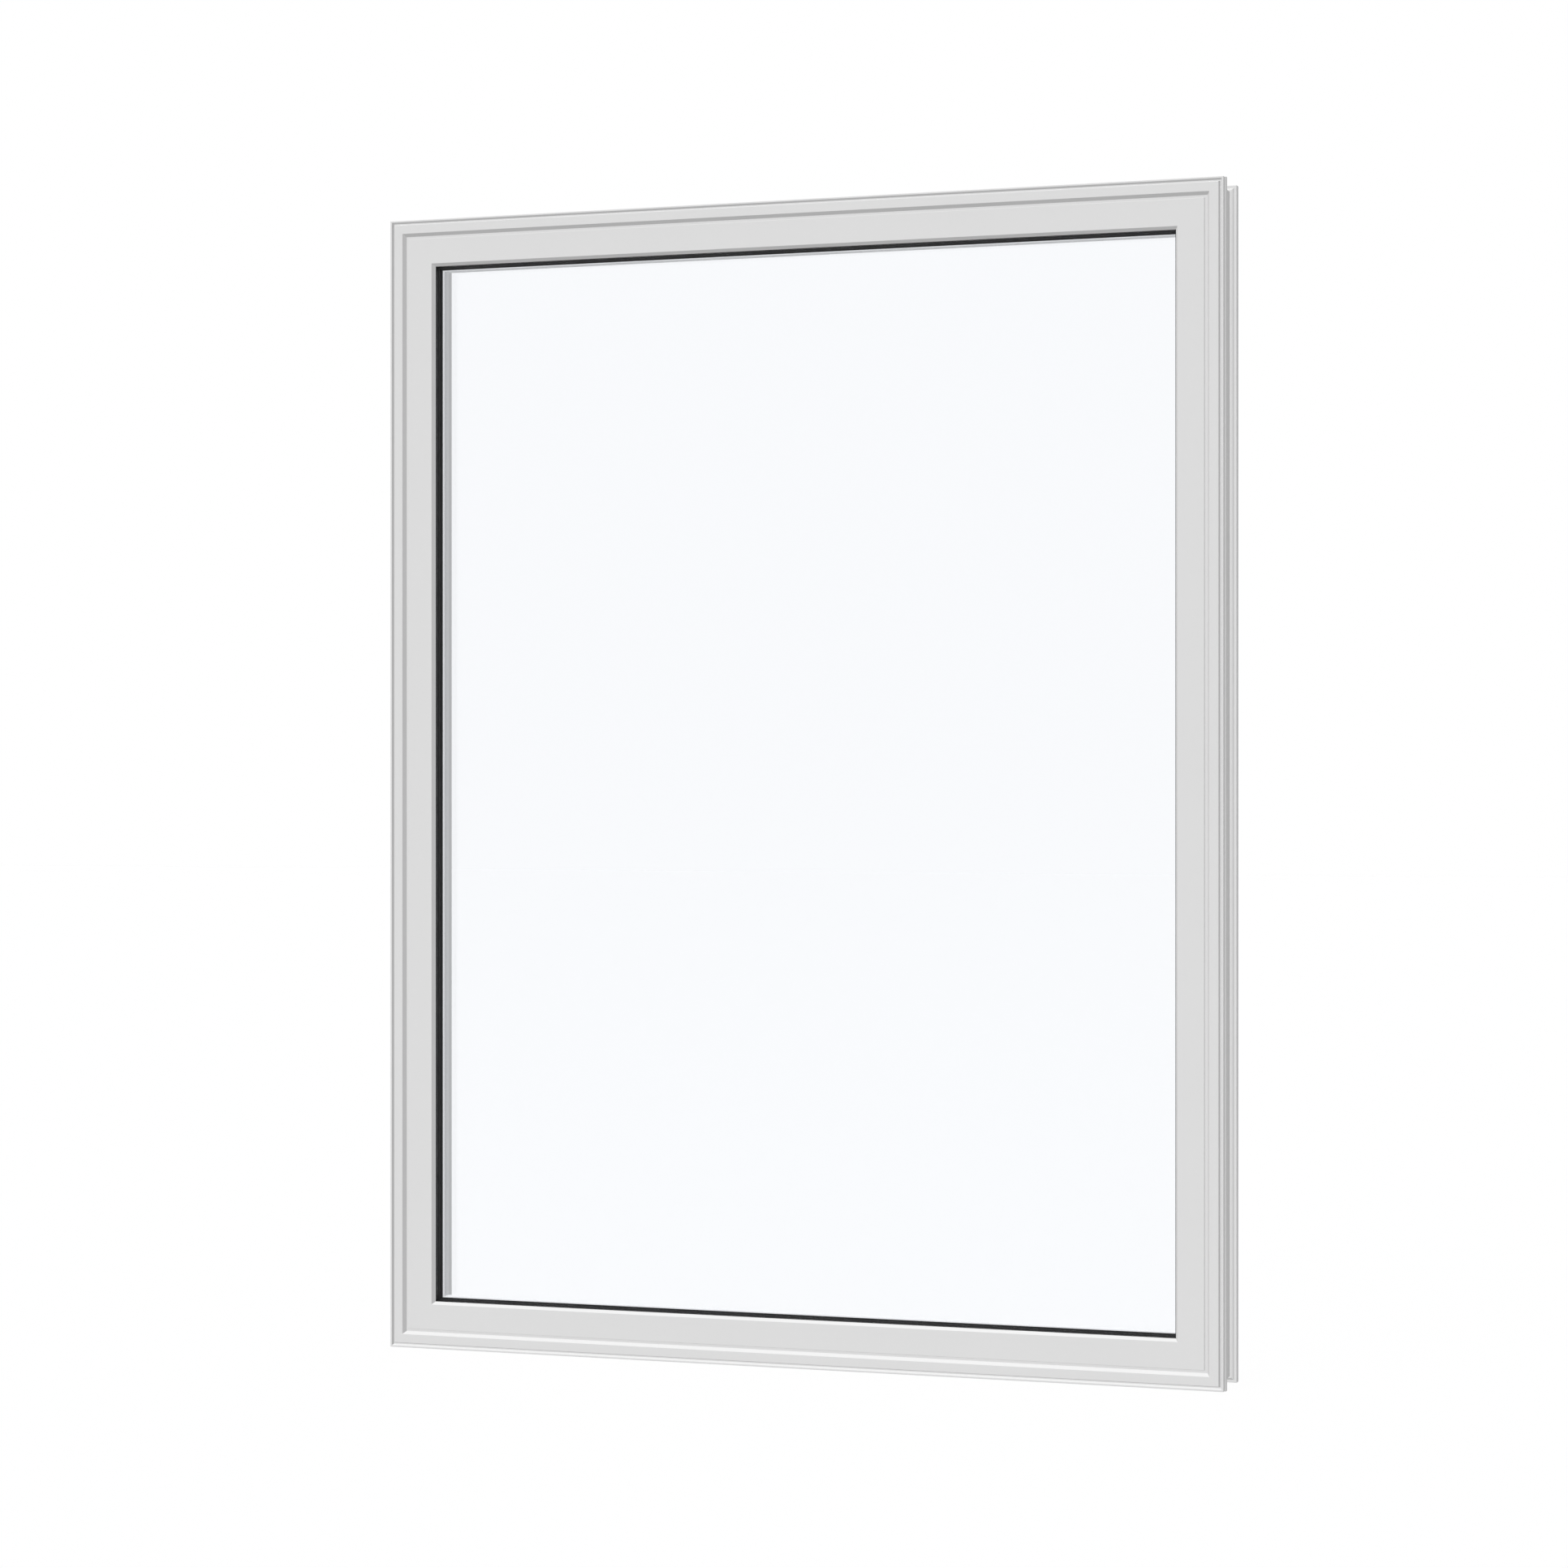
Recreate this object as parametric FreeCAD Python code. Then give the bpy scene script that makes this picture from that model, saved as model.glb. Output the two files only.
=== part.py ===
import FreeCAD, Part
import math
import os

# Fixed picture window in white vinyl: an outer frame, a fixed sash and a sealed double glazing unit.
# Millimetres. The exterior faces -Y, +X is to the right seen from outside, and +Z is up.
# The origin is on the underside of the sill, midway across the width and the depth.
#
# Each ring of the window is one extruded section, cut into four bars that meet on 45 degree mitres.
# A section is drawn in two coordinates: the inset, measured inwards from the overall outline,
# and the depth, measured back from the face of the exterior flange.

# Overall size
WIDTH = 914.4
HEIGHT = 1219.2
DEPTH = 73.0

# Walls and edges of the extrusions
FRAME_WALL = 2.0
SASH_WALL = 2.0
BEAD_WALL = 1.3
WEB = 1.4
CRISP_RADIUS = 0.4
SOFT_RADIUS = 1.2

# Exterior nose of the frame: lip, accessory groove, flange face, step and reveal
LIP_INSET = 0.8
LIP_TIP = 1.8
LIP_SETBACK = 0.4
LIP_FLARE = 1.1
GROOVE_FLOOR = 1.1
GROOVE_DEPTH = 3.9
FLANGE_LEAD = 0.95
FLANGE_WIDTH = 9.45
STEP_RUN = 2.65
REVEAL_SETBACK = 5.5
REVEAL_WIDTH = 2.95

# Perimeter of the frame: rib behind the lip, recessed neck and rear flange
RIB_SETBACK = 8.3
RIB_RAMP = 0.4
RIB_LAND = 6.1
NECK_RECESS = 6.7
REAR_FLANGE_DEPTH = 9.0
REAR_FLANGE_HEIGHT = 2.85
REAR_STEP_LEAN = 0.5
REAR_STEP_DEPTH = 2.0
REAR_BEVEL_RUN = 1.6
REAR_BEVEL_DEPTH = 0.9

# Rebate of the frame that takes the sash
LEDGE_LAP = 2.6
INNER_LEG_WIDTH = 10.0
SASH_SIDE_CLEARANCE = 0.6
SASH_BACK_CLEARANCE = 0.7

# Fixed sash
SASH_FACE_SETBACK = 3.0
SASH_FACE_WIDTH = 27.4
STOP_RUN = 2.85
STOP_DEPTH = 5.7
GLAZING_COVER = 12.2

# Glazing bead, clipped into the sash from inside
BEAD_HEIGHT = 13.35
BEAD_DEPTH = 10.0
BEAD_NOSE_RADIUS = 1.5
BEAD_FOOT_SETBACK = 2.8
BEAD_FOOT_WIDTH = 2.6
BEAD_FOOT_HEIGHT = 2.7
BEAD_FOOT_CLEARANCE = 0.3

# Gaskets
OUTER_GASKET_DEPTH = 11.8
OUTER_GASKET_WIDTH = 8.2
FIRST_LOBE_SETBACK = 6.5
FIRST_LOBE_RUN = 1.2
SECOND_LOBE_SETBACK = 10.6
SECOND_LOBE_RUN = 1.55
LOBE_RADIUS = 1.1
LOBE_BORE = 1.6
HEEL_BORE = 2.2
GLASS_CLEARANCE = 0.1
INNER_GASKET_DEPTH = 1.4
INNER_GASKET_WIDTH = 4.0

# Double glazing unit and the blocks that carry it
PANE = 4.0
AIR_GAP = 12.0
ARRIS = 0.5
GLASS_EDGE_CLEARANCE = 3.0
EDGE_SEAL_HEIGHT = 5.75
SPACER_HEIGHT = 7.0
SPACER_WALL = 0.5
SPACER_RADIUS = 0.4
BLOCK_LENGTH = 100.0
BLOCK_END_DISTANCE = 180.0

# Insets, added up from the overall outline towards the daylight opening
lip_end = LIP_INSET + LIP_TIP
groove_start = lip_end + LIP_FLARE
flange_start = groove_start + GROOVE_FLOOR + FLANGE_LEAD
flange_end = flange_start + FLANGE_WIDTH
reveal_start = flange_end + STEP_RUN
sash_edge = reveal_start + REVEAL_WIDTH
ledge_end = sash_edge + LEDGE_LAP
leg_end = ledge_end + INNER_LEG_WIDTH
sash_side = ledge_end + SASH_SIDE_CLEARANCE
face_end = sash_edge + SASH_FACE_WIDTH
stop_end = face_end + STOP_RUN
first_lobe = stop_end + FIRST_LOBE_RUN
second_lobe = first_lobe + SECOND_LOBE_RUN
pocket_floor = stop_end - GLAZING_COVER
bead_end = pocket_floor + BEAD_HEIGHT
glass_edge = pocket_floor + GLASS_EDGE_CLEARANCE
spacer_start = glass_edge + EDGE_SEAL_HEIGHT
spacer_end = spacer_start + SPACER_HEIGHT

# Depths, added up from the exterior flange towards the room
rib_front = RIB_SETBACK + RIB_RAMP
rib_back = rib_front + RIB_LAND
stop_back = SASH_FACE_SETBACK + STOP_DEPTH
outer_pane_front = stop_back + OUTER_GASKET_DEPTH
gap_front = outer_pane_front + PANE
gap_back = gap_front + AIR_GAP
inner_pane_back = gap_back + PANE
bead_front = inner_pane_back + INNER_GASKET_DEPTH
sash_back = bead_front + BEAD_DEPTH
leg_front = sash_back + SASH_BACK_CLEARANCE
rear_flange_front = DEPTH - REAR_FLANGE_DEPTH
rear_step_front = rear_flange_front - REAR_STEP_DEPTH
rear_step_edge = REAR_FLANGE_HEIGHT + REAR_STEP_LEAN


def at(inset, depth):
    """Return a point of a section in the plane across the bar."""
    return FreeCAD.Vector(0, depth, inset)


def rounded_outline(corners):
    """Close a wire through (inset, depth, radius) corners, each rounded as far as its sides allow."""
    points = [at(inset, depth) for inset, depth, radius in corners]
    count = len(points)
    starts = []
    ends = []
    edges = []
    for index, (inset, depth, radius) in enumerate(corners):
        point = points[index]
        back = points[index - 1] - point
        ahead = points[(index + 1) % count] - point
        shorter_side = min(back.Length, ahead.Length)
        back.normalize()
        ahead.normalize()
        half_angle = back.getAngle(ahead) / 2
        tangent = min(radius / math.tan(half_angle), 0.45 * shorter_side)
        bisector = (back + ahead).normalize()
        fitted = tangent * math.tan(half_angle)
        middle = point + bisector * (fitted / math.sin(half_angle) - fitted)
        starts.append(point + back * tangent)
        ends.append(point + ahead * tangent)
        if radius > 0:
            edges.append(Part.Arc(starts[-1], middle, ends[-1]).toShape())
    for index in range(count):
        edges.append(Part.LineSegment(ends[index - 1], starts[index]).toShape())
    return Part.Wire(Part.__sortEdges__(edges))


def chamber(corners):
    """Return the outline of a hollow through (inset, depth) corners."""
    points = [at(inset, depth) for inset, depth in corners]
    return Part.makePolygon(points + points[:1])


def box_chamber(inset_low, depth_low, inset_high, depth_high):
    """Return the outline of a rectangular hollow."""
    return chamber([
        (inset_low, depth_low),
        (inset_high, depth_low),
        (inset_high, depth_high),
        (inset_low, depth_high),
    ])


def section(outer, hollows=()):
    """Return the face inside an outline and outside its hollows."""
    return Part.makeFace([outer, *hollows], "Part::FaceMakerBullseye")


def mitred_bar(face, length):
    """Extrude a section along X and cut both ends at 45 degrees, longest at inset 0."""
    half = length / 2
    box = face.BoundBox
    profile = face.copy()
    profile.translate(FreeCAD.Vector(-half, 0, 0))
    bar = profile.extrude(FreeCAD.Vector(length, 0, 0))
    reach = box.ZMax
    trapezoid = Part.makePolygon([
        FreeCAD.Vector(-half, box.YMin, 0),
        FreeCAD.Vector(half, box.YMin, 0),
        FreeCAD.Vector(half - reach, box.YMin, reach),
        FreeCAD.Vector(reach - half, box.YMin, reach),
        FreeCAD.Vector(-half, box.YMin, 0),
    ])
    wedge = Part.Face(trapezoid).extrude(FreeCAD.Vector(0, box.YLength, 0))
    return bar.common(wedge).Solids[0]


def ring(face):
    """Return a section's top, bottom, left and right bars in place."""
    across = mitred_bar(face, WIDTH)
    upright = mitred_bar(face, HEIGHT)
    front = -DEPTH / 2
    places = (
        (across, 180, FreeCAD.Vector(0, front, HEIGHT)),
        (across, 0, FreeCAD.Vector(0, front, 0)),
        (upright, 90, FreeCAD.Vector(-WIDTH / 2, front, HEIGHT / 2)),
        (upright, -90, FreeCAD.Vector(WIDTH / 2, front, HEIGHT / 2)),
    )
    bars = []
    for bar, turn, place in places:
        placed = bar.copy()
        placed.Placement = FreeCAD.Placement(place, FreeCAD.Rotation(FreeCAD.Vector(0, 1, 0), turn))
        bars.append(placed)
    return bars


def frame_section():
    """Outer frame: exterior nose, recessed neck, rear flange and the rebate for the sash."""
    outer = rounded_outline([
        (LIP_INSET, LIP_SETBACK, CRISP_RADIUS),
        (lip_end, LIP_SETBACK, CRISP_RADIUS),
        (groove_start, GROOVE_DEPTH, 0),
        (groove_start + GROOVE_FLOOR, GROOVE_DEPTH, 0),
        (flange_start, 0, CRISP_RADIUS),
        (flange_end, 0, CRISP_RADIUS),
        (reveal_start, REVEAL_SETBACK, CRISP_RADIUS),
        (ledge_end, REVEAL_SETBACK, 0),
        (ledge_end, leg_front, 0),
        (leg_end, leg_front, CRISP_RADIUS),
        (leg_end, DEPTH, SOFT_RADIUS),
        (0, DEPTH, CRISP_RADIUS),
        (0, rear_flange_front, CRISP_RADIUS),
        (REAR_FLANGE_HEIGHT, rear_flange_front, 0),
        (rear_step_edge, rear_step_front + REAR_BEVEL_DEPTH, 0),
        (rear_step_edge + REAR_BEVEL_RUN, rear_step_front, 0),
        (NECK_RECESS, rear_step_front, 0),
        (NECK_RECESS, rib_back, 0),
        (0, rib_back, CRISP_RADIUS),
        (0, rib_front, CRISP_RADIUS),
        (LIP_INSET, RIB_SETBACK, 0),
    ])
    inner_side = ledge_end - FRAME_WALL
    neck_side = NECK_RECESS + FRAME_WALL
    nose_back = rib_back - FRAME_WALL
    back_side = DEPTH - FRAME_WALL
    nose = chamber([
        (flange_start + FRAME_WALL, FRAME_WALL),
        (flange_end - FRAME_WALL, FRAME_WALL),
        (reveal_start - FRAME_WALL, REVEAL_SETBACK + FRAME_WALL),
        (inner_side, REVEAL_SETBACK + FRAME_WALL),
        (inner_side, nose_back),
        (LIP_INSET + FRAME_WALL, nose_back),
        (LIP_INSET + FRAME_WALL, GROOVE_DEPTH + FRAME_WALL),
        (flange_start + FRAME_WALL, GROOVE_DEPTH + FRAME_WALL),
    ])
    neck_front = nose_back + WEB
    neck_middle = (neck_front + leg_front) / 2
    front_neck = box_chamber(neck_side, neck_front, inner_side, neck_middle - WEB / 2)
    rear_neck = box_chamber(neck_side, neck_middle + WEB / 2, inner_side, leg_front)
    rear = chamber([
        (neck_side, leg_front + FRAME_WALL),
        (inner_side, leg_front + FRAME_WALL),
        (inner_side, back_side),
        (FRAME_WALL, back_side),
        (FRAME_WALL, rear_flange_front + FRAME_WALL),
        (neck_side, rear_flange_front + FRAME_WALL),
    ])
    leg = box_chamber(inner_side + WEB, leg_front + FRAME_WALL, leg_end - FRAME_WALL, back_side)
    return section(outer, [nose, front_neck, rear_neck, rear, leg])


def sash_section():
    """Fixed sash: lapped face, slanted glazing stop, glass pocket and bead groove."""
    slot_front = bead_front + BEAD_FOOT_SETBACK - BEAD_FOOT_CLEARANCE
    slot_back = slot_front + BEAD_FOOT_WIDTH + 2 * BEAD_FOOT_CLEARANCE
    slot_floor = pocket_floor - BEAD_FOOT_HEIGHT - BEAD_FOOT_CLEARANCE
    outer = rounded_outline([
        (sash_edge, SASH_FACE_SETBACK, CRISP_RADIUS),
        (face_end, SASH_FACE_SETBACK, CRISP_RADIUS),
        (stop_end, stop_back, CRISP_RADIUS),
        (pocket_floor, stop_back, 0),
        (pocket_floor, slot_front, 0),
        (slot_floor, slot_front, 0),
        (slot_floor, slot_back, 0),
        (pocket_floor, slot_back, 0),
        (pocket_floor, sash_back, CRISP_RADIUS),
        (sash_side, sash_back, 0),
        (sash_side, REVEAL_SETBACK, 0),
        (sash_edge, REVEAL_SETBACK, 0),
    ])
    outer_side = sash_side + SASH_WALL
    pocket_side = pocket_floor - SASH_WALL
    face_back = outer_pane_front
    nose = chamber([
        (outer_side, SASH_FACE_SETBACK + SASH_WALL),
        (face_end - SASH_WALL, SASH_FACE_SETBACK + SASH_WALL),
        (face_end, stop_back - SASH_WALL),
        (pocket_side, stop_back - SASH_WALL),
        (pocket_side, face_back),
        (outer_side, face_back),
    ])
    heel_front = slot_front - SASH_WALL
    middle = box_chamber(outer_side, face_back + WEB, pocket_side, heel_front - WEB)
    heel = box_chamber(outer_side, heel_front, slot_floor - SASH_WALL, sash_back - SASH_WALL)
    return section(outer, [nose, middle, heel])


def bead_section():
    """Glazing bead: a hollow nose against the inner gasket and a foot in the sash groove."""
    foot_front = bead_front + BEAD_FOOT_SETBACK
    foot_back = foot_front + BEAD_FOOT_WIDTH
    foot_end = pocket_floor - BEAD_FOOT_HEIGHT
    outer = rounded_outline([
        (pocket_floor, bead_front, 0),
        (bead_end, bead_front, CRISP_RADIUS),
        (bead_end, sash_back, BEAD_NOSE_RADIUS),
        (pocket_floor, sash_back, CRISP_RADIUS),
        (pocket_floor, foot_back, 0),
        (foot_end, foot_back, CRISP_RADIUS),
        (foot_end, foot_front, CRISP_RADIUS),
        (pocket_floor, foot_front, 0),
    ])
    hollow = box_chamber(
        pocket_floor + BEAD_WALL,
        bead_front + BEAD_WALL,
        bead_end - BEAD_WALL,
        sash_back - BEAD_WALL,
    )
    return section(outer, [hollow])


def bore(inset, depth, radius):
    """Return the outline of a round hollow."""
    return Part.Wire(Part.makeCircle(radius, at(inset, depth), FreeCAD.Vector(1, 0, 0)))


def outer_gasket_section():
    """Exterior gasket: two rounded lobes, one behind the other, from the glazing stop to the glass."""
    heel = stop_end - OUTER_GASKET_WIDTH
    first_front = stop_back + FIRST_LOBE_SETBACK
    second_front = stop_back + SECOND_LOBE_SETBACK
    glass_side = outer_pane_front - GLASS_CLEARANCE
    outer = rounded_outline([
        (stop_end, stop_back, 0),
        (stop_end, first_front, 0),
        (first_lobe, first_front, LOBE_RADIUS),
        (first_lobe, second_front, 0),
        (second_lobe, second_front, LOBE_RADIUS),
        (second_lobe, glass_side, 0),
        (heel, glass_side, 0),
        (heel, stop_back, 0),
    ])
    lobe_bore = bore(stop_end - 0.9 * FIRST_LOBE_RUN, (first_front + glass_side) / 2, LOBE_BORE)
    heel_bore = bore(heel + 1.6 * HEEL_BORE, (stop_back + glass_side) / 2, HEEL_BORE)
    return section(outer, [lobe_bore, heel_bore])


def inner_gasket_section():
    """Interior gasket: a thin strip between the inner pane and the bead."""
    return section(rounded_outline([
        (bead_end - INNER_GASKET_WIDTH, inner_pane_back + GLASS_CLEARANCE, 0),
        (bead_end, inner_pane_back + GLASS_CLEARANCE, CRISP_RADIUS),
        (bead_end, bead_front, CRISP_RADIUS),
        (bead_end - INNER_GASKET_WIDTH, bead_front, 0),
    ]))


def spacer_section():
    """Spacer of the glazing unit: a thin-walled tube between the panes."""
    front = gap_front + GLASS_CLEARANCE
    back = gap_back - GLASS_CLEARANCE
    outer = rounded_outline([
        (spacer_start, front, 0),
        (spacer_end, front, SPACER_RADIUS),
        (spacer_end, back, SPACER_RADIUS),
        (spacer_start, back, 0),
    ])
    hollow = box_chamber(
        spacer_start + SPACER_WALL,
        front + SPACER_WALL,
        spacer_end - SPACER_WALL,
        back - SPACER_WALL,
    )
    return section(outer, [hollow])


def edge_seal_section():
    """Edge seal of the glazing unit, from the spacer out to the edge of the glass."""
    return section(rounded_outline([
        (glass_edge, gap_front, 0),
        (spacer_start, gap_front, 0),
        (spacer_start, gap_back, 0),
        (glass_edge, gap_back, 0),
    ]))


def pane(front):
    """One sheet of glass with arrised edges, its outer face at the given depth."""
    sheet = Part.makeBox(
        WIDTH - 2 * glass_edge,
        PANE,
        HEIGHT - 2 * glass_edge,
        FreeCAD.Vector(glass_edge - WIDTH / 2, front - DEPTH / 2, glass_edge),
    )
    return sheet.makeChamfer(ARRIS, sheet.Edges)


def setting_block(side):
    """One block under the glazing unit, on the left (-1) or the right (+1)."""
    centre = side * (WIDTH / 2 - BLOCK_END_DISTANCE)
    return Part.makeBox(
        BLOCK_LENGTH,
        inner_pane_back - outer_pane_front,
        GLASS_EDGE_CLEARANCE,
        FreeCAD.Vector(centre - BLOCK_LENGTH / 2, outer_pane_front - DEPTH / 2, pocket_floor),
    )


def edge_names(piece):
    """Return the names of a ring's four bars."""
    return [piece + "_" + side for side in ("top", "bottom", "left", "right")]


def pieces():
    """Return every piece of the window by name."""
    rings = (
        (["frame_head", "frame_sill", "frame_left_jamb", "frame_right_jamb"], frame_section()),
        (["sash_top_rail", "sash_bottom_rail", "sash_left_stile", "sash_right_stile"], sash_section()),
        (edge_names("glazing_bead"), bead_section()),
        (edge_names("outer_gasket"), outer_gasket_section()),
        (edge_names("inner_gasket"), inner_gasket_section()),
        (edge_names("spacer"), spacer_section()),
        (edge_names("edge_seal"), edge_seal_section()),
    )
    named = {}
    for names, face in rings:
        named.update(zip(names, ring(face)))
    named["outer_pane"] = pane(outer_pane_front)
    named["inner_pane"] = pane(gap_back)
    named["left_setting_block"] = setting_block(-1)
    named["right_setting_block"] = setting_block(1)
    return named


os.makedirs("parts", exist_ok=True)
for name, shape in pieces().items():
    shape.exportStep("parts/" + name + ".step")
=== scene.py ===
"""Looks of the fixed picture window: the finish of every piece, the studio and the camera."""

from __future__ import annotations

import logging
import math
from dataclasses import dataclass
from enum import Enum
from typing import Any, Mapping, Sequence

import bpy
from mathutils import Euler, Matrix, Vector

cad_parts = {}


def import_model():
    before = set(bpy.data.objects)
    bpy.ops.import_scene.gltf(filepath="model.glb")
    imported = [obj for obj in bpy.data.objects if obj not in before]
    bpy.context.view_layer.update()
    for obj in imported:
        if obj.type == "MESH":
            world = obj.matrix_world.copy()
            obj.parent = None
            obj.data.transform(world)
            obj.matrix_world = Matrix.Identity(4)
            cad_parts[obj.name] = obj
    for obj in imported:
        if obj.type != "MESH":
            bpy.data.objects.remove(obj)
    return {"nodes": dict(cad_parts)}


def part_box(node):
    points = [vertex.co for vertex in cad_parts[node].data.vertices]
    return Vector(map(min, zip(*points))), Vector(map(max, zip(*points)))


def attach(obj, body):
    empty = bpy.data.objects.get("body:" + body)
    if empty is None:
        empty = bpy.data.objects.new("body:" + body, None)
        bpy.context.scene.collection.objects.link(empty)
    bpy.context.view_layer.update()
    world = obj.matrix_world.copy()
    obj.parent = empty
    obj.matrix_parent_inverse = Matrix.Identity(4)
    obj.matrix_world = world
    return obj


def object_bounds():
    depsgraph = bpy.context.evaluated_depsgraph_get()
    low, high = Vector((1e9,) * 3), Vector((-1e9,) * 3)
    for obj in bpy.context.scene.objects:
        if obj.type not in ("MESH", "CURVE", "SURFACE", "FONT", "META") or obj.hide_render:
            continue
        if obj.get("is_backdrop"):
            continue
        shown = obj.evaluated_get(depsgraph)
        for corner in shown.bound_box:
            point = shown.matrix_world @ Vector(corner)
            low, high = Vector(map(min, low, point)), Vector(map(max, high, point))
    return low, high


LOG = logging.getLogger("picture_window")
MM = 0.001
ROOT_BODY = "root"
NOISE_MEAN = 0.5

Colour = tuple[float, float, float]
WHITE: Colour = (1.0, 1.0, 1.0)


class Drawn(Enum):
    """The direction in which an extruded bar left its die."""

    ACROSS = "across"
    UPRIGHT = "upright"

    @property
    def along(self) -> Vector:
        """Direction of the bar's length."""
        return Vector((1, 0, 0)) if self is Drawn.ACROSS else Vector((0, 0, 1))

    def stretch(self, along: float, over: float) -> tuple[float, float, float]:
        """Return a scale that draws a pattern out along the bar.

        Args:
            along: Scale along the bar.
            over: Scale in the other two directions.

        Returns:
            The scale for X, Y and Z.
        """
        return (along, over, over) if self is Drawn.ACROSS else (over, over, along)


class Side(Enum):
    """One of the four bars of a ring, named as the sub-parts are."""

    TOP = "top"
    BOTTOM = "bottom"
    LEFT = "left"
    RIGHT = "right"

    @property
    def drawn(self) -> Drawn:
        """Direction in which the bars of this side are drawn."""
        return Drawn.UPRIGHT if self in (Side.LEFT, Side.RIGHT) else Drawn.ACROSS

    @property
    def inward(self) -> Vector:
        """Direction from the bar towards the middle of the opening."""
        return {
            Side.TOP: Vector((0, 0, -1)),
            Side.BOTTOM: Vector((0, 0, 1)),
            Side.LEFT: Vector((1, 0, 0)),
            Side.RIGHT: Vector((-1, 0, 0)),
        }[self]


class Ray(Enum):
    """A kind of ray that a material or the studio can tell apart."""

    CAMERA = "Is Camera Ray"
    SHADOW = "Is Shadow Ray"
    DIFFUSE = "Is Diffuse Ray"
    GLOSSY = "Is Glossy Ray"
    TRANSMISSION = "Is Transmission Ray"


def ring_names(piece: str) -> dict[Side, str]:
    """Return the names of a ring whose bars are called top, bottom, left and right.

    Args:
        piece: The name that the four bars share.

    Returns:
        The node name of each side.
    """
    return {side: f"{piece}_{side.value}" for side in Side}


def opaque(colour: Colour) -> tuple[float, float, float, float]:
    """Return a colour with full alpha, as colour sockets take it."""
    return (*colour, 1.0)


@dataclass(frozen=True)
class Signal:
    """A shader socket that takes part in arithmetic."""

    graph: ShaderGraph
    socket: bpy.types.NodeSocket

    def __add__(self, other: Operand) -> Signal:
        """Add a value."""
        return self.graph.maths("ADD", self, other)

    def __radd__(self, other: Operand) -> Signal:
        """Add to a value."""
        return self.graph.maths("ADD", other, self)

    def __sub__(self, other: Operand) -> Signal:
        """Take a value away."""
        return self.graph.maths("SUBTRACT", self, other)

    def __rsub__(self, other: Operand) -> Signal:
        """Take this away from a value."""
        return self.graph.maths("SUBTRACT", other, self)

    def __mul__(self, other: Operand) -> Signal:
        """Multiply by a value."""
        return self.graph.maths("MULTIPLY", self, other)

    def __rmul__(self, other: Operand) -> Signal:
        """Multiply a value."""
        return self.graph.maths("MULTIPLY", other, self)

    def __or__(self, other: Operand) -> Signal:
        """Take the larger of two masks."""
        return self.graph.maths("MAXIMUM", self, other)

    def __ror__(self, other: Operand) -> Signal:
        """Take the larger of a value and this mask."""
        return self.graph.maths("MAXIMUM", other, self)


Operand = Signal | float


class ShaderGraph:
    """A node tree that is written as expressions."""

    def __init__(self, tree: bpy.types.NodeTree) -> None:
        """Start with an empty tree.

        Args:
            tree: The tree of a material or a world.
        """
        self.tree = tree
        tree.nodes.clear()

    def node(
        self,
        kind: str,
        settings: Mapping[str, Any] | None = None,
        sockets: Mapping[str | int, Any] | None = None,
        output: str | int = 0,
    ) -> Signal:
        """Make a node, set it up, and feed its sockets.

        Args:
            kind: The node's type.
            settings: Its properties, set first.
            sockets: Values or signals for its inputs, by name or number.
            output: The output to return.

        Returns:
            The chosen output, or the first input of a node that has no output.
        """
        made = self.tree.nodes.new(kind)
        for name, value in (settings or {}).items():
            setattr(made, name, value)
        for key, value in (sockets or {}).items():
            if isinstance(value, Signal):
                self.tree.links.new(value.socket, made.inputs[key])
            else:
                made.inputs[key].default_value = value
        return Signal(self, made.outputs[output] if len(made.outputs) else made.inputs[0])

    def maths(self, operation: str, left: Operand, right: Operand) -> Signal:
        """Add a Math node for one operation on two values."""
        return self.node("ShaderNodeMath", {"operation": operation}, {0: left, 1: right})

    def ray(self, kind: Ray) -> Signal:
        """Return 1 for rays of one kind and 0 for others."""
        return self.node("ShaderNodeLightPath", output=kind.value)

    def blend(self, factor: Operand, low: Colour, high: Colour) -> Signal:
        """Mix two colours.

        Args:
            factor: 0 gives the low colour, 1 the high one.
            low: The colour at 0.
            high: The colour at 1.

        Returns:
            The mixed colour.
        """
        sockets = {0: factor, 6: opaque(low), 7: opaque(high)}
        return self.node("ShaderNodeMix", {"data_type": "RGBA"}, sockets, output=2)

    def mix(self, factor: Operand, low: Signal, high: Signal) -> Signal:
        """Mix two shaders: the low one at 0, the high one at 1."""
        return self.node("ShaderNodeMixShader", sockets={0: factor, 1: low, 2: high})

    def noise(self, scale: Sequence[float], detail: float) -> Signal:
        """Return smooth noise over the piece, fixed to the piece's own coordinates.

        Args:
            scale: Features for each metre along X, Y and Z.
            detail: Octaves of finer noise.

        Returns:
            The noise value, NOISE_MEAN on average.
        """
        own = self.node("ShaderNodeTexCoord", output="Object")
        where = self.node("ShaderNodeMapping", sockets={"Vector": own, "Scale": tuple(scale)})
        sockets = {"Vector": where, "Scale": 1.0, "Detail": detail}
        return self.node("ShaderNodeTexNoise", sockets=sockets)

    def even_noise(self, pitch: float, detail: float) -> Signal:
        """Return noise with features of one pitch, in metres, in all directions."""
        return self.noise((1 / pitch,) * 3, detail)

    def bump(self, height: Signal, relief: float) -> Signal:
        """Return the normal of a surface that rises by a relief, in metres, where the height is 1."""
        sockets = {"Strength": 1.0, "Distance": relief, "Height": height}
        return self.node("ShaderNodeBump", sockets=sockets)

    def principled(self, sockets: Mapping[str, Any]) -> Signal:
        """Return a Principled shader with these values."""
        return self.node("ShaderNodeBsdfPrincipled", sockets=sockets)


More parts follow.
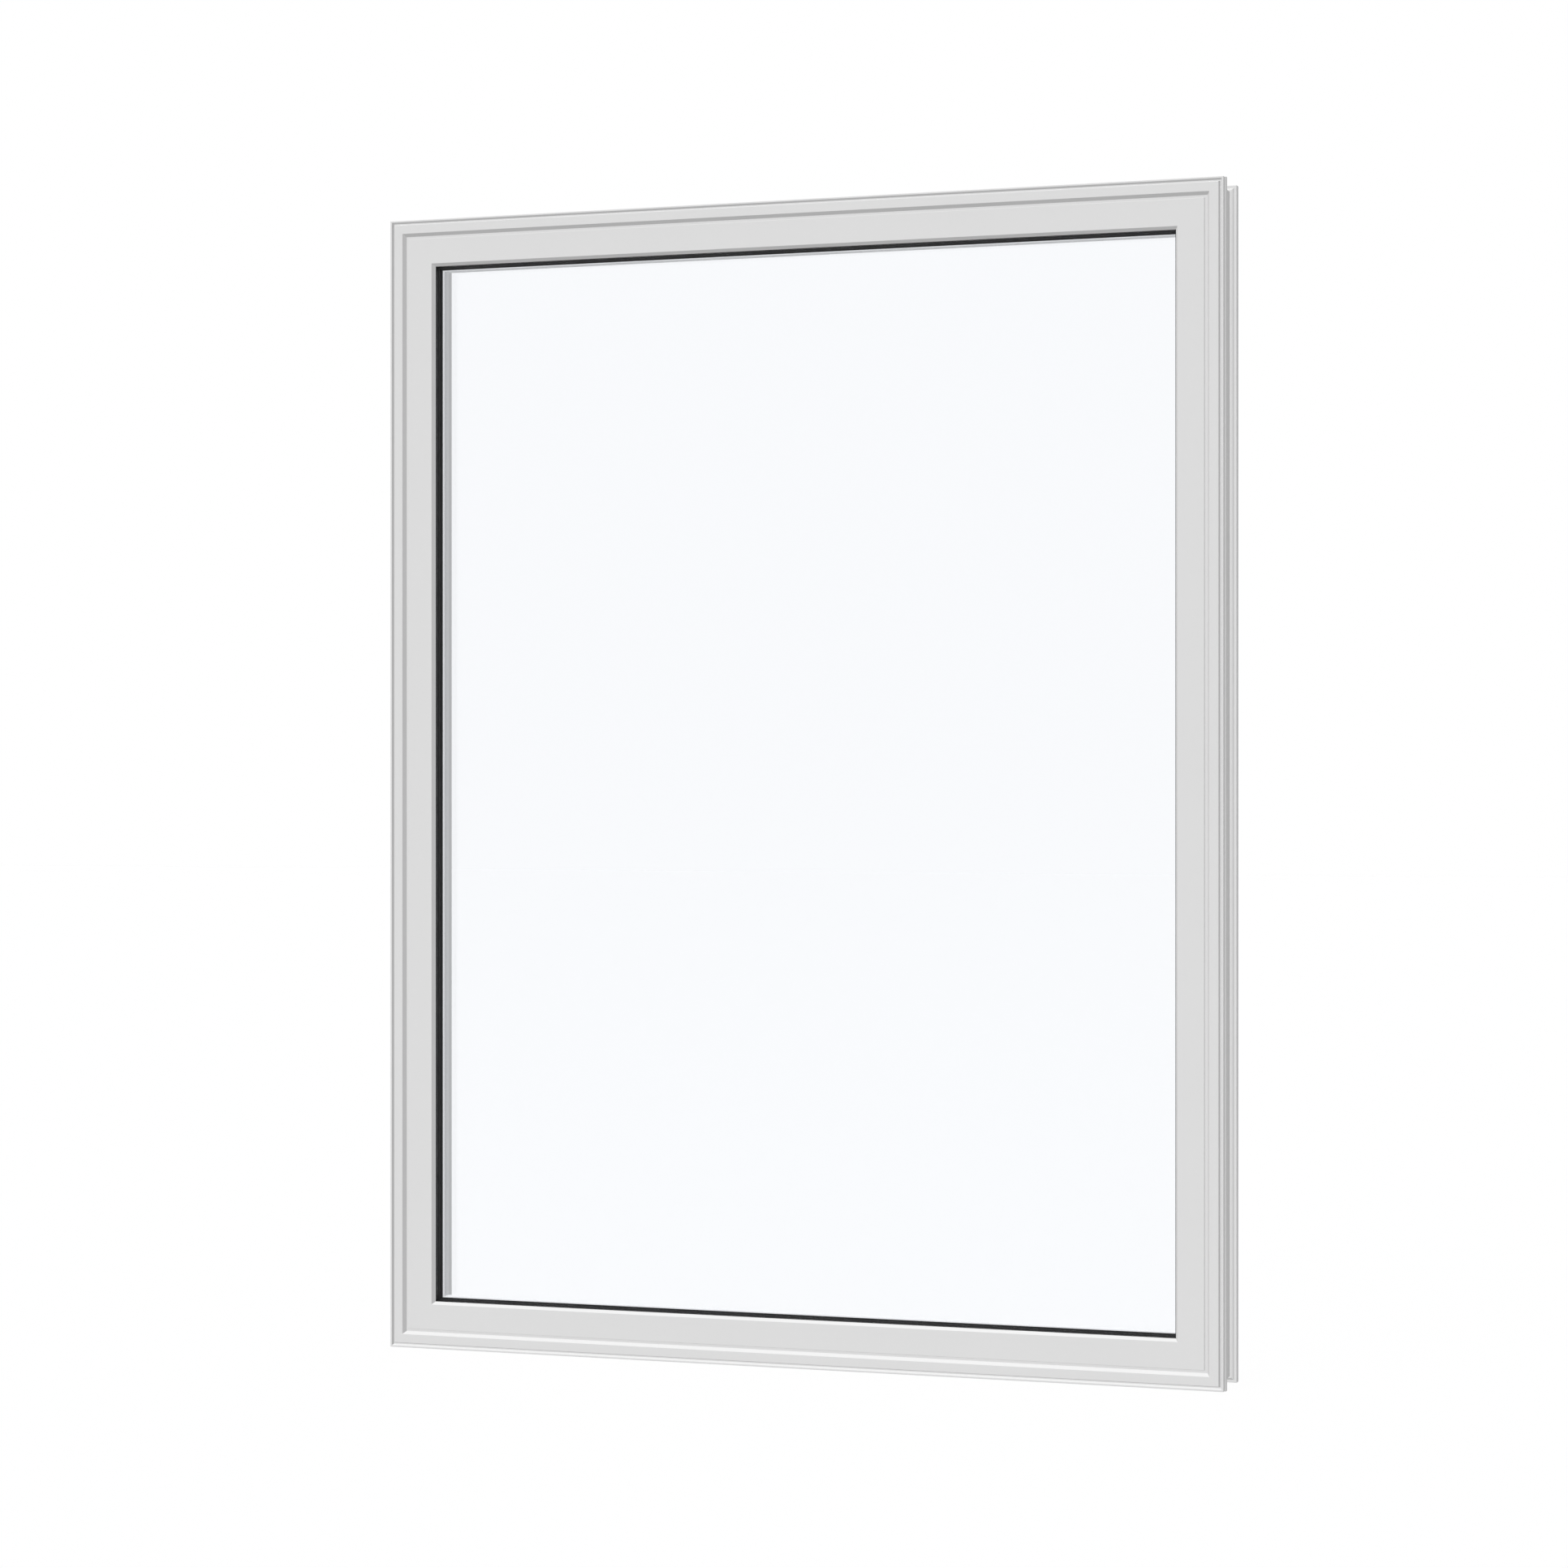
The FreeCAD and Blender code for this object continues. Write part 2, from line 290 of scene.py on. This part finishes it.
@dataclass(frozen=True)
class Finish:
    """A surface finish. Each kind fills its own material."""

    name: str

    def material(self) -> bpy.types.Material:
        """Return the material of this finish, made once."""
        known = bpy.data.materials.get(self.name)
        if known is not None:
            return known
        made = bpy.data.materials.new(self.name)
        made.use_nodes = True
        graph = ShaderGraph(made.node_tree)
        graph.node("ShaderNodeOutputMaterial", sockets={"Surface": self.shader(graph)})
        return made

    def shader(self, graph: ShaderGraph) -> Signal:
        """Build the nodes and return the shader."""
        raise NotImplementedError


@dataclass(frozen=True)
class VinylFinish(Finish):
    """White vinyl, dull to satin, with the faint lines that the die leaves along a bar."""

    drawn: Drawn = Drawn.ACROSS
    pale: Colour = (0.84, 0.84, 0.84)
    paler: Colour = (0.86, 0.86, 0.86)
    gloss: float = 0.07
    roughness: float = 0.55
    roughness_swing: float = 0.08
    lines_per_metre: float = 2.0
    line_pitch: float = 0.9 * MM
    peel_pitch: float = 0.6 * MM
    cloud_pitch: float = 140 * MM
    relief: float = 0.004 * MM
    line_share: float = 0.6

    def shader(self, graph: ShaderGraph) -> Signal:
        """Build the vinyl: slow tone changes, die lines and a fine orange peel."""
        lines = graph.noise(self.drawn.stretch(self.lines_per_metre, 1 / self.line_pitch), detail=2.0)
        peel = graph.even_noise(self.peel_pitch, detail=1.0)
        cloud = graph.even_noise(self.cloud_pitch, detail=2.0)
        height = self.line_share * lines + (1 - self.line_share) * peel
        return graph.principled({
            "Base Color": graph.blend(cloud, self.pale, self.paler),
            "Roughness": self.roughness + self.roughness_swing * (lines - NOISE_MEAN),
            "Specular IOR Level": self.gloss,
            "Normal": graph.bump(height, self.relief),
        })


@dataclass(frozen=True)
class RubberFinish(Finish):
    """Matt rubber or sealant, slightly chalky and uneven."""

    dark: Colour = (0.012, 0.0122, 0.013)
    chalky: Colour = (0.02, 0.0205, 0.0215)
    gloss: float = 0.5
    roughness: float = 0.55
    roughness_swing: float = 0.1
    grain_pitch: float = 0.5 * MM
    cloud_pitch: float = 30 * MM
    relief: float = 0.01 * MM

    def shader(self, graph: ShaderGraph) -> Signal:
        """Build the rubber: chalky clouds and a fine moulded grain."""
        grain = graph.even_noise(self.grain_pitch, detail=2.0)
        cloud = graph.even_noise(self.cloud_pitch, detail=3.0)
        return graph.principled({
            "Base Color": graph.blend(cloud, self.dark, self.chalky),
            "Roughness": self.roughness + self.roughness_swing * (grain - NOISE_MEAN),
            "Specular IOR Level": self.gloss,
            "Normal": graph.bump(grain, self.relief),
        })


@dataclass(frozen=True)
class SpacerFinish(Finish):
    """Pale satin coat of the spacer bar, brushed along its length."""

    drawn: Drawn = Drawn.ACROSS
    dull: Colour = (0.945, 0.955, 0.97)
    bright: Colour = (0.955, 0.965, 0.98)
    metal: float = 0.05
    roughness: float = 0.5
    roughness_swing: float = 0.12
    strokes_per_metre: float = 15.0
    brush_pitch: float = 0.25 * MM

    def shader(self, graph: ShaderGraph) -> Signal:
        """Build the coat with brush lines along the bar."""
        brush = graph.noise(self.drawn.stretch(self.strokes_per_metre, 1 / self.brush_pitch), detail=2.0)
        return graph.principled({
            "Base Color": graph.blend(brush, self.dull, self.bright),
            "Metallic": self.metal,
            "Roughness": self.roughness + self.roughness_swing * (brush - NOISE_MEAN),
        })


@dataclass(frozen=True)
class GlassFinish(Finish):
    """Clear float glass. Lamps and bounced light reach what is behind it."""

    tint: Colour = (0.978, 0.985, 0.996)
    ior: float = 1.5

    def shader(self, graph: ShaderGraph) -> Signal:
        """Build clear glass that is see-through for light rays."""
        glass = graph.principled({
            "Base Color": opaque(self.tint),
            "Roughness": 0.0,
            "IOR": self.ior,
            "Transmission Weight": 1.0,
        })
        clear = graph.node("ShaderNodeBsdfTransparent", sockets={"Color": opaque(self.tint)})
        return graph.mix(graph.ray(Ray.SHADOW) | graph.ray(Ray.DIFFUSE), glass, clear)


@dataclass(frozen=True)
class FloorFinish(Finish):
    """White studio floor that keeps a soft shadow."""

    white: Colour = WHITE
    bounce: Colour = (0.458, 0.458, 0.458)
    glow: float = 0.908
    shadow_share: float = 0.6

    def shader(self, graph: ShaderGraph) -> Signal:
        """Build a floor that looks white and bounces less than it shows."""
        glow = graph.node("ShaderNodeEmission", sockets={"Color": opaque(self.white), "Strength": self.glow})
        lit = graph.node("ShaderNodeBsdfDiffuse", sockets={"Color": opaque(self.white)})
        bounced = graph.node("ShaderNodeBsdfDiffuse", sockets={"Color": opaque(self.bounce)})
        seen = graph.ray(Ray.CAMERA) | graph.ray(Ray.TRANSMISSION)
        return graph.mix(seen, bounced, graph.mix(self.shadow_share, glow, lit))


def dress(node: bpy.types.Object, finish: Finish) -> None:
    """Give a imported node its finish.

    Args:
        node: The node's object.
        finish: The finish for all of its faces.
    """
    node.visible_diffuse = False
    node.data.materials.clear()
    node.data.materials.append(finish.material())
    LOG.info("dressed %s in %s", node.name, finish.name)


@dataclass(frozen=True)
class VinylRing:
    """Four mitred vinyl bars: the outer frame, the fixed sash or the glazing beads."""

    title: str
    names: Mapping[Side, str]

    def dress(self, nodes: Mapping[str, bpy.types.Object]) -> None:
        """Finish each bar with die lines along its own length."""
        for side, name in self.names.items():
            dress(nodes[name], VinylFinish(f"white_vinyl_{side.drawn.value}", side.drawn))
        LOG.info("%s: %d bars", self.title, len(self.names))


@dataclass(frozen=True)
class GasketRing:
    """Four bars of a rubber ring."""

    title: str
    names: Mapping[Side, str]
    finish: RubberFinish

    def dress(self, nodes: Mapping[str, bpy.types.Object]) -> None:
        """Finish each bar in the ring's rubber."""
        for name in self.names.values():
            dress(nodes[name], self.finish)
        LOG.info("%s: %d bars", self.title, len(self.names))


@dataclass(frozen=True)
class PerforationTree:
    """Geometry nodes that set two rows of pin holes along a spacer bar."""

    sides: int = 6

    def build(self) -> bpy.types.GeometryNodeTree:
        """Build the tree, with the rows' ends, offset, count and hole size as inputs."""
        tree = bpy.data.node_groups.new("spacer_perforations", "GeometryNodeTree")
        inputs = {
            "Start": "NodeSocketVector",
            "End": "NodeSocketVector",
            "Row Offset": "NodeSocketVector",
            "Count": "NodeSocketInt",
            "Radius": "NodeSocketFloat",
            "Depth": "NodeSocketFloat",
            "Facing": "NodeSocketRotation",
            "Finish": "NodeSocketMaterial",
        }
        for name, kind in inputs.items():
            tree.interface.new_socket(name, in_out="INPUT", socket_type=kind)
        tree.interface.new_socket("Geometry", in_out="OUTPUT", socket_type="NodeSocketGeometry")
        given = tree.nodes.new("NodeGroupInput").outputs
        line = self._add(tree, "GeometryNodeMeshLine", {"mode": "END_POINTS"}, {
            "Count": given["Count"],
            "Start Location": given["Start"],
            "Offset": given["End"],
        })
        second = self._add(tree, "GeometryNodeTransform", {}, {
            "Geometry": line,
            "Translation": given["Row Offset"],
        })
        rows = self._add(tree, "GeometryNodeJoinGeometry", {}, {"Geometry": line})
        tree.links.new(second, rows.node.inputs["Geometry"])
        hole = self._add(tree, "GeometryNodeMeshCylinder", {}, {
            "Vertices": self.sides,
            "Radius": given["Radius"],
            "Depth": given["Depth"],
        })
        copies = self._add(tree, "GeometryNodeInstanceOnPoints", {}, {
            "Points": rows,
            "Instance": hole,
            "Rotation": given["Facing"],
        })
        real = self._add(tree, "GeometryNodeRealizeInstances", {}, {"Geometry": copies})
        painted = self._add(tree, "GeometryNodeSetMaterial", {}, {
            "Geometry": real,
            "Material": given["Finish"],
        })
        self._add(tree, "NodeGroupOutput", {}, {"Geometry": painted})
        return tree

    def _add(
        self,
        tree: bpy.types.GeometryNodeTree,
        kind: str,
        settings: Mapping[str, Any],
        sockets: Mapping[str, Any],
    ) -> bpy.types.NodeSocket | None:
        """Add a node, set it up and feed its inputs.

        Args:
            tree: The tree that it goes in.
            kind: The node's type.
            settings: Its properties.
            sockets: The value of each input, or the socket that feeds it.

        Returns:
            The node's first output, or None if it has none.
        """
        made = tree.nodes.new(kind)
        for name, value in settings.items():
            setattr(made, name, value)
        for name, value in sockets.items():
            if isinstance(value, bpy.types.NodeSocket):
                tree.links.new(value, made.inputs[name])
            else:
                made.inputs[name].default_value = value
        return made.outputs[0] if len(made.outputs) else None


@dataclass(frozen=True)
class GlazingUnit:
    """The sealed double glazing unit: two panes, spacer bars, edge seal and setting blocks."""

    panes: tuple[str, ...] = ("outer_pane", "inner_pane")
    blocks: tuple[str, ...] = ("left_setting_block", "right_setting_block")
    glass: GlassFinish = GlassFinish("clear_float_glass")
    seal: RubberFinish = RubberFinish("grey_edge_seal", (0.05, 0.05, 0.053), (0.07, 0.07, 0.074))
    block: RubberFinish = RubberFinish("block_rubber", (0.03, 0.03, 0.031), (0.045, 0.045, 0.047))
    # Colour of the pin-hole discs: painted shade that stands in for the dark inside of each hole, not a
    # rubber or coat that the spacer has.
    hole_shade: RubberFinish = RubberFinish("pin_hole_shade", (0.36, 0.36, 0.37), (0.42, 0.42, 0.43))
    hole_pitch: float = 4.0 * MM
    hole_radius: float = 0.2 * MM
    hole_height: float = 0.04 * MM
    row_spacing: float = 3.0 * MM
    end_margin: float = 12.0 * MM

    def dress(self, nodes: Mapping[str, bpy.types.Object]) -> None:
        """Finish the panes, the spacer, the edge seal and the blocks."""
        for name in self.panes:
            dress(nodes[name], self.glass)
        for side, name in ring_names("spacer").items():
            dress(nodes[name], SpacerFinish(f"satin_spacer_{side.drawn.value}", side.drawn))
        for name in ring_names("edge_seal").values():
            dress(nodes[name], self.seal)
        for name in self.blocks:
            dress(nodes[name], self.block)

    def perforate(self) -> None:
        """Set the spacer's pin holes along the face that shows between the panes, as thin grey discs whose
        colour is painted shade for the dark inside of each hole.
        """
        tree = PerforationTree().build()
        for side, name in ring_names("spacer").items():
            low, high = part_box(name)
            values = self._rows(side, low, high)
            piece = self._plain_piece(f"spacer_perforations_{side.value}", tree, values)
            piece.visible_diffuse = False
            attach(piece, ROOT_BODY)
            LOG.info("%s: %d faces", piece.name, len(piece.data.polygons))

    def _rows(self, side: Side, low: Vector, high: Vector) -> dict[str, Any]:
        """Work out where the two rows of holes of one bar go.

        Args:
            side: The bar's side.
            low: The bar's lowest corner.
            high: The bar's highest corner.

        Returns:
            The values of the perforation tree's inputs.
        """
        reach = (high - low) / 2
        along = side.drawn.along
        inward = side.inward
        half = reach.dot(along) - self.end_margin
        row = Vector((0, self.row_spacing, 0))
        surface = (low + high) / 2 + reach * inward
        sunk = surface - row / 2 - inward * (self.hole_height / 2)
        return {
            "Start": sunk - along * half,
            "End": sunk + along * half,
            "Row Offset": row,
            "Count": int(2 * half / self.hole_pitch) + 1,
            "Radius": self.hole_radius,
            "Depth": 2 * self.hole_height,
            "Facing": Vector((0, 0, 1)).rotation_difference(inward).to_euler(),
            "Finish": self.hole_shade.material(),
        }

    def _plain_piece(
        self,
        title: str,
        tree: bpy.types.GeometryNodeTree,
        values: Mapping[str, Any],
    ) -> bpy.types.Object:
        """Run a tree and keep what it makes as a plain mesh.

        Args:
            title: The name of the piece.
            tree: The tree that makes it.
            values: The values of the tree's inputs, by name.

        Returns:
            The new object, at the origin.
        """
        collection = bpy.context.scene.collection
        maker = bpy.data.objects.new(f"{title}_maker", bpy.data.meshes.new(f"{title}_maker"))
        collection.objects.link(maker)
        modifier = maker.modifiers.new("perforations", "NODES")
        modifier.node_group = tree
        for socket in tree.interface.items_tree:
            if socket.in_out == "INPUT":
                modifier[socket.identifier] = values[socket.name]
        depsgraph = bpy.context.evaluated_depsgraph_get()
        mesh = bpy.data.meshes.new_from_object(maker.evaluated_get(depsgraph))
        bpy.data.objects.remove(maker)
        mesh.name = title
        piece = bpy.data.objects.new(title, mesh)
        collection.objects.link(piece)
        return piece


@dataclass(frozen=True)
class PhotoCamera:
    """The level camera of the photograph, right of the window's middle."""

    image_px: float = 1932.0
    focal_px: float = 4380.0
    sensor: float = 36.0
    yaw_deg: float = 18.42
    aside: float = 1.1635
    standoff: float = 3.5152

    def build(self, box: tuple[Vector, Vector]) -> None:
        """Place the camera at the window's mid-height.

        Args:
            box: The window's lowest and highest corners.
        """
        low, high = box
        data = bpy.data.cameras.new("photo_camera")
        data.sensor_width = self.sensor
        data.lens = self.focal_px / self.image_px * self.sensor
        camera = bpy.data.objects.new("photo_camera", data)
        camera.location = (self.aside, low.y - self.standoff, (low.z + high.z) / 2)
        camera.rotation_euler = Euler((math.pi / 2, 0, math.radians(self.yaw_deg)))
        bpy.context.scene.collection.objects.link(camera)
        bpy.context.scene.camera = camera
        LOG.info("camera lens %.1f mm", data.lens)


@dataclass(frozen=True)
class SoftLamp:
    """A distant soft lamp, named for what it lights."""

    name: str
    towards: tuple[float, float, float]
    level: float
    shadow: bool = False
    spread_deg: float = 40.0

    def build(self) -> None:
        """Hang the lamp. Its level is the tone that it gives a white face turned to it."""
        lamp = bpy.data.lights.new(self.name, "SUN")
        lamp.energy = self.level * math.pi
        lamp.angle = math.radians(self.spread_deg)
        lamp.use_shadow = self.shadow
        holder = bpy.data.objects.new(self.name, lamp)
        holder.rotation_euler = Vector(self.towards).to_track_quat("Z", "Y").to_euler()
        holder.visible_glossy = False
        holder.visible_transmission = False
        bpy.context.scene.collection.objects.link(holder)
        LOG.info("lamp %s at level %.2f", self.name, self.level)


@dataclass(frozen=True)
class Studio:
    """White studio: soft light from above the left shoulder, an even fill, room light and a pale floor."""

    surround: float = 0.486
    mirrored_low: float = 1.0
    mirrored_high: float = 0.68
    fade_from: float = -0.15
    fade_to: float = 0.03
    key_towards: tuple[float, float, float] = (-0.156, -0.585, 0.796)
    key_level: float = 0.55
    key_spread_deg: float = 8.0
    ground_level: float = 0.06
    room_towards: tuple[float, float, float] = (-0.3, 0.92, 0.25)
    room_level: float = 0.36
    floor_half: float = 20.0

    def build(self) -> None:
        """Build the surround, the lamps and the floor."""
        self._surround()
        self._lamps()
        self._floor()
        bpy.context.scene.view_settings.view_transform = "Standard"

    def _surround(self) -> None:
        """White to look at, dimmer above the horizon where it is mirrored, and plain where it lights."""
        world = bpy.data.worlds.new("studio_surround")
        world.use_nodes = True
        bpy.context.scene.world = world
        graph = ShaderGraph(world.node_tree)
        glossy = graph.ray(Ray.GLOSSY)
        let_through = graph.ray(Ray.TRANSMISSION)
        seen = graph.ray(Ray.CAMERA) | glossy | let_through
        mirrored = glossy * (1.0 - let_through)
        level = 1.0 - mirrored * (1.0 - self._mirrored_level(graph))
        white = opaque(WHITE)
        shown = graph.node("ShaderNodeBackground", sockets={"Color": white, "Strength": level})
        light = graph.node("ShaderNodeBackground", sockets={"Color": white, "Strength": self.surround})
        graph.node("ShaderNodeOutputWorld", sockets={"Surface": graph.mix(seen, light, shown)})

    def _mirrored_level(self, graph: ShaderGraph) -> Signal:
        """Return the level of the studio in a reflection, which fades with the Z of its direction.

        Args:
            graph: The world's nodes.

        Returns:
            The level that a reflection shows.
        """
        direction = graph.node("ShaderNodeTexCoord", output="Generated")
        rise = graph.node("ShaderNodeSeparateXYZ", sockets={"Vector": direction}, output="Z")
        return graph.node(
            "ShaderNodeMapRange",
            {"interpolation_type": "SMOOTHSTEP"},
            {
                "Value": rise,
                "From Min": self.fade_from,
                "From Max": self.fade_to,
                "To Min": self.mirrored_low,
                "To Max": self.mirrored_high,
            },
        )

    def _lamps(self) -> None:
        """A key that reaches into the grooves, a weak one that grounds the window, and the room's light."""
        SoftLamp("soft_key", self.key_towards, self.key_level, spread_deg=self.key_spread_deg).build()
        SoftLamp("ground_key", self.key_towards, self.ground_level, shadow=True).build()
        SoftLamp("room_fill", self.room_towards, self.room_level).build()

    def _floor(self) -> None:
        """A plain floor under the sill."""
        half = self.floor_half
        corners = [(-half, -half, 0), (half, -half, 0), (half, half, 0), (-half, half, 0)]
        mesh = bpy.data.meshes.new("studio_floor")
        mesh.from_pydata(corners, [], [(0, 1, 2, 3)])
        mesh.materials.append(FloorFinish("studio_floor").material())
        floor = bpy.data.objects.new("studio_floor", mesh)
        floor.visible_glossy = False
        bpy.context.scene.collection.objects.link(floor)
        floor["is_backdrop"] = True


def main() -> None:
    """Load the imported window, dress it, and set up the studio and the camera."""
    logging.basicConfig(level=logging.INFO, format="%(message)s")
    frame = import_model()
    packed_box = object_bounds()
    nodes = frame["nodes"]
    PhotoCamera().build(packed_box)
    outer_frame = {
        Side.TOP: "frame_head",
        Side.BOTTOM: "frame_sill",
        Side.LEFT: "frame_left_jamb",
        Side.RIGHT: "frame_right_jamb",
    }
    fixed_sash = {
        Side.TOP: "sash_top_rail",
        Side.BOTTOM: "sash_bottom_rail",
        Side.LEFT: "sash_left_stile",
        Side.RIGHT: "sash_right_stile",
    }
    VinylRing("outer frame", outer_frame).dress(nodes)
    VinylRing("fixed sash", fixed_sash).dress(nodes)
    VinylRing("glazing bead", ring_names("glazing_bead")).dress(nodes)
    black = RubberFinish("black_gasket_rubber")
    GasketRing("outer gasket", ring_names("outer_gasket"), black).dress(nodes)
    GasketRing("inner gasket", ring_names("inner_gasket"), black).dress(nodes)
    unit = GlazingUnit()
    unit.dress(nodes)
    unit.perforate()
    Studio().build()


if __name__ == "__main__":
    main()
